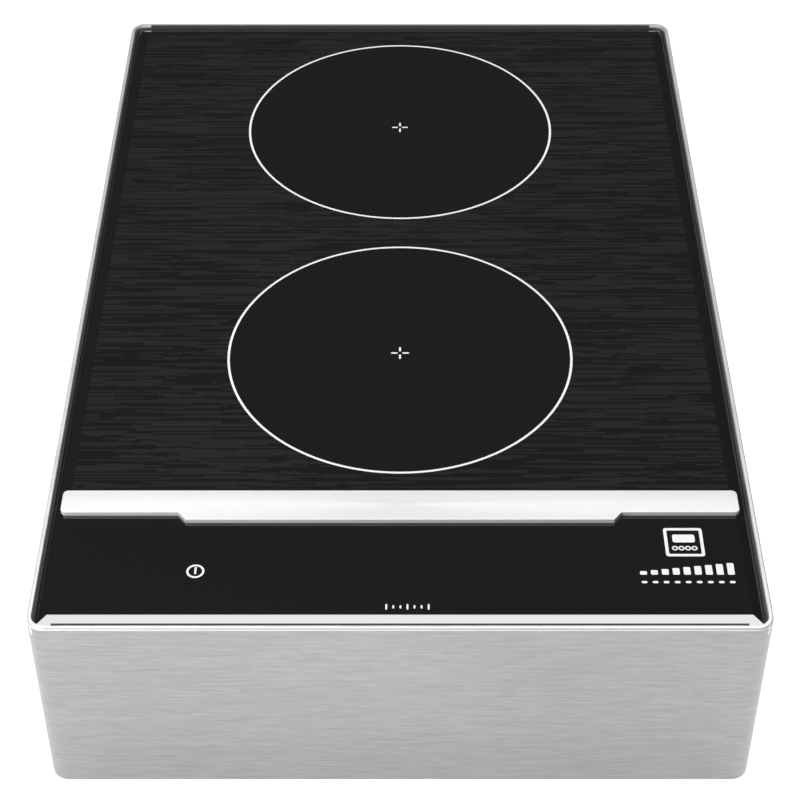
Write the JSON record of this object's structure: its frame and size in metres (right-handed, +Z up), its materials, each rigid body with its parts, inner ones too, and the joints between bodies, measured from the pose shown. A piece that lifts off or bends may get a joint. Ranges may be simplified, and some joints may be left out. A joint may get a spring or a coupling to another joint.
{
  "type": "induction hob",
  "caption": "Countertop induction hob: brushed steel casing, black bevelled glass top with front and rear cooking zones, raised divider bar and front touch strip.",
  "frame": {"origin": "on the bench, under the middle of the appliance's width and depth", "axes": "+Z up, front with the touch strip towards -Y, +X to the right as seen from the front"},
  "size_m": [0.4, 0.6, 0.1439],
  "materials": {
    "casing_steel": "fine horizontal brushing",
    "divider_steel": "satin, polished edges",
    "black_glass": "polished black glass ceramic with ground bevel",
    "black_silicone": "matt",
    "aluminium": "mill finish",
    "zinc_steel": "zinc plated",
    "copper_litz": "enamelled litz wire",
    "fibre_blanket": "needled ceramic fibre",
    "carrier_plastic": "moulded, glass filled",
    "ferrite": "sintered, matt",
    "circuit_board": "green solder resist",
    "component_black": "moulded epoxy",
    "capacitor_plastic": "moulded box",
    "fan_plastic": "moulded",
    "duct_plastic": "moulded",
    "wire_pvc": "silicone-sheathed wire",
    "gland_plastic": "moulded polyamide",
    "terminal_plastic": "moulded polyamide",
    "brass_fitting": "plain",
    "foot_rubber": "moulded",
    "filter_steel": "knitted wire",
    "white_print": "fired white ceramic print"
  },
  "bodies": {
    "casing": {"air_duct": "duct_plastic", "base_plate": "casing_steel", "board_fasteners": "zinc_steel", "bonding_stud": "brass_fitting", "casing_screws": "zinc_steel", "coil_deck": "aluminium", "coil_ferrites": "ferrite", "coil_leads": "wire_pvc", "coil_springs": "zinc_steel", "control_board": "circuit_board", "control_bracket": "zinc_steel", "control_ribbon": "wire_pvc", "deck_pillars": "zinc_steel", "display_modules": "component_black", "divider_bar": "divider_steel", "filter_board": "circuit_board", "filter_capacitors": "capacitor_plastic", "filter_chokes": "copper_litz", "filter_rails": "zinc_steel", "foot_nuts": "zinc_steel", "front_coil_blanket": "fibre_blanket", "front_coil_carrier": "carrier_plastic", "front_coil_winding": "copper_litz", "front_temperature_probe": "black_silicone", "gland_body": "gland_plastic", "gland_cap": "gland_plastic", "gland_locknut": "gland_plastic", "gland_seal": "black_silicone", "glass_seal": "black_silicone", "glass_top": "black_glass", "housing_shell": "casing_steel", "internal_wires": "wire_pvc", "left_fan_frame": "fan_plastic", "left_heat_sink": "aluminium", "left_power_board": "circuit_board", "power_board_chokes": "copper_litz", "power_transistors": "component_black", "rear_coil_blanket": "fibre_blanket", "rear_coil_carrier": "carrier_plastic", "rear_coil_winding": "copper_litz", "rear_panel": "casing_steel", "rear_temperature_probe": "black_silicone", "resonance_capacitors": "capacitor_plastic", "right_fan_frame": "fan_plastic", "right_heat_sink": "aluminium", "right_power_board": "circuit_board", "terminal_block": "terminal_plastic", "touch_sensors": "component_black"},
    "fan_left": {"left_fan_rotor": "fan_plastic"},
    "fan_right": {"right_fan_rotor": "fan_plastic"},
    "filter": {"filter_frame": "filter_steel", "filter_mesh": "filter_steel"},
    "foot_front_left": {"foot_pad_front_left": "foot_rubber"},
    "stud_front_left": {"foot_stud_front_left": "zinc_steel"},
    "foot_front_right": {"foot_pad_front_right": "foot_rubber"},
    "stud_front_right": {"foot_stud_front_right": "zinc_steel"},
    "foot_rear_left": {"foot_pad_rear_left": "foot_rubber"},
    "stud_rear_left": {"foot_stud_rear_left": "zinc_steel"},
    "foot_rear_right": {"foot_pad_rear_right": "foot_rubber"},
    "stud_rear_right": {"foot_stud_rear_right": "zinc_steel"}
  },
  "joints": [
    {"name": "fan_left_spin", "type": "hinge", "parent": "casing", "child": "fan_left", "pos_m": [-0.092, -0.1652, 0.052], "axis": [0, 1, 0], "continuous": true},
    {"name": "fan_right_spin", "type": "hinge", "parent": "casing", "child": "fan_right", "pos_m": [0.092, -0.1652, 0.052], "axis": [0, 1, 0], "continuous": true},
    {"name": "filter_slide", "type": "slide", "parent": "casing", "child": "filter", "axis": [0, -1, 0], "range_m": [0, 0.104]},
    {"name": "foot_front_left_travel", "type": "slide", "parent": "casing", "child": "foot_front_left", "axis": [0, 0, -1], "range_m": [0, 0.01]},
    {"name": "foot_front_left_turn", "type": "hinge", "parent": "foot_front_left", "child": "stud_front_left", "pos_m": [-0.165, -0.262, 0], "axis": [0, 0, 1], "range_deg": [-2881, 0]},
    {"name": "foot_front_right_travel", "type": "slide", "parent": "casing", "child": "foot_front_right", "axis": [0, 0, -1], "range_m": [0, 0.01]},
    {"name": "foot_front_right_turn", "type": "hinge", "parent": "foot_front_right", "child": "stud_front_right", "pos_m": [0.165, -0.262, 0], "axis": [0, 0, 1], "range_deg": [-2881, 0]},
    {"name": "foot_rear_left_travel", "type": "slide", "parent": "casing", "child": "foot_rear_left", "axis": [0, 0, -1], "range_m": [0, 0.01]},
    {"name": "foot_rear_left_turn", "type": "hinge", "parent": "foot_rear_left", "child": "stud_rear_left", "pos_m": [-0.165, 0.262, 0], "axis": [0, 0, 1], "range_deg": [-2881, 0]},
    {"name": "foot_rear_right_travel", "type": "slide", "parent": "casing", "child": "foot_rear_right", "axis": [0, 0, -1], "range_m": [0, 0.01]},
    {"name": "foot_rear_right_turn", "type": "hinge", "parent": "foot_rear_right", "child": "stud_rear_right", "pos_m": [0.165, 0.262, 0], "axis": [0, 0, 1], "range_deg": [-2881, 0]}
  ],
  "couplings": [
    {"joint": "foot_front_left_turn", "follows": "foot_front_left_travel", "rad_per_m": -5026.5},
    {"joint": "foot_front_right_turn", "follows": "foot_front_right_travel", "rad_per_m": -5026.5},
    {"joint": "foot_rear_left_turn", "follows": "foot_rear_left_travel", "rad_per_m": -5026.5},
    {"joint": "foot_rear_right_turn", "follows": "foot_rear_right_travel", "rad_per_m": -5026.5}
  ]
}
